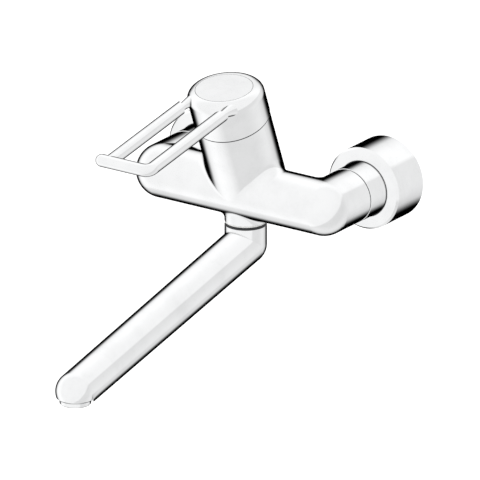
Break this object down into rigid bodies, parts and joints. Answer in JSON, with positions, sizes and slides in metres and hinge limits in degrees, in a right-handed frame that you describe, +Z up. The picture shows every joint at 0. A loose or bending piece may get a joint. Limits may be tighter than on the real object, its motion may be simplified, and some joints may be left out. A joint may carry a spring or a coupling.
{
  "type": "elbow lever tap",
  "caption": "Wall-mounted single-lever mixer tap with a long loop lever worked by the elbow, a leaning cylindrical cartridge tower, deep round wall roses and a long swivel spout.",
  "frame": {"origin": "on the finished wall, midway between the two inlet connections", "axes": "+X along the wall to the right as the user sees it, +Y into the wall, +Z up"},
  "size_m": [0.2154, 0.3436, 0.2032],
  "materials": {
    "chrome": "polished",
    "steel": "satin",
    "brass": "machined",
    "dark_plastic": "matte",
    "pale_plastic": "matte",
    "ceramic": "ground and lapped",
    "rubber": "matte"
  },
  "bodies": {
    "tap_body": {"body_casting": "chrome", "dome_cover": "chrome", "slip_ring": "dark_plastic", "cartridge_nut": "brass", "cartridge_housing": "pale_plastic", "cartridge_base": "pale_plastic", "base_seals": "rubber", "fixed_disc": "ceramic", "spout_glide_ring": "pale_plastic", "spout_retainer": "steel", "left_inlet_tail": "brass", "left_inlet_nut": "chrome", "left_nut_ring": "dark_plastic", "left_inlet_washer": "rubber", "left_inlet_strainer": "steel", "left_inlet_union": "brass", "left_rose": "chrome", "left_rose_ring": "rubber", "left_wall_seal": "rubber", "right_inlet_tail": "brass", "right_inlet_nut": "chrome", "right_nut_ring": "dark_plastic", "right_inlet_washer": "rubber", "right_inlet_strainer": "steel", "right_inlet_union": "brass", "right_rose": "chrome", "right_rose_ring": "rubber", "right_wall_seal": "rubber"},
    "rotor": {"rotor": "dark_plastic", "rotor_o_ring": "rubber", "pivot_pin": "steel"},
    "disc": {"moving_disc": "ceramic", "disc_carrier": "pale_plastic"},
    "lever": {"spindle": "steel", "lever_cap": "chrome", "cover_disc": "chrome", "lever_screw": "steel", "lever_loop": "chrome", "loop_screws": "steel"},
    "spout": {"spout_tube": "chrome", "spout_nipple": "brass", "spout_o_rings": "rubber", "spout_seal": "rubber", "aerator_shell": "chrome", "aerator_insert": "dark_plastic", "aerator_washer": "rubber"}
  },
  "joints": [
    {"name": "temperature_turn", "type": "hinge", "parent": "tap_body", "child": "rotor", "pos_m": [0, -0.09652, 0.04733], "axis": [0, -0.3665, 0.9304], "range_deg": [-45, 45]},
    {"name": "lever_lift", "type": "hinge", "parent": "rotor", "child": "lever", "pos_m": [0, -0.09652, 0.04733], "axis": [-1, 0, 0], "range_deg": [0, 25]},
    {"name": "disc_slide", "type": "slide", "parent": "rotor", "child": "disc", "axis": [0, -0.9304, -0.3665], "range_m": [0, 0.00521]},
    {"name": "spout_swivel", "type": "hinge", "parent": "tap_body", "child": "spout", "pos_m": [0, -0.0842, -0.0292], "axis": [0, 0, 1], "range_deg": [-60, 60]}
  ],
  "couplings": [
    {"joint": "disc_slide", "follows": "lever_lift", "m_per_rad": 0.011905}
  ]
}
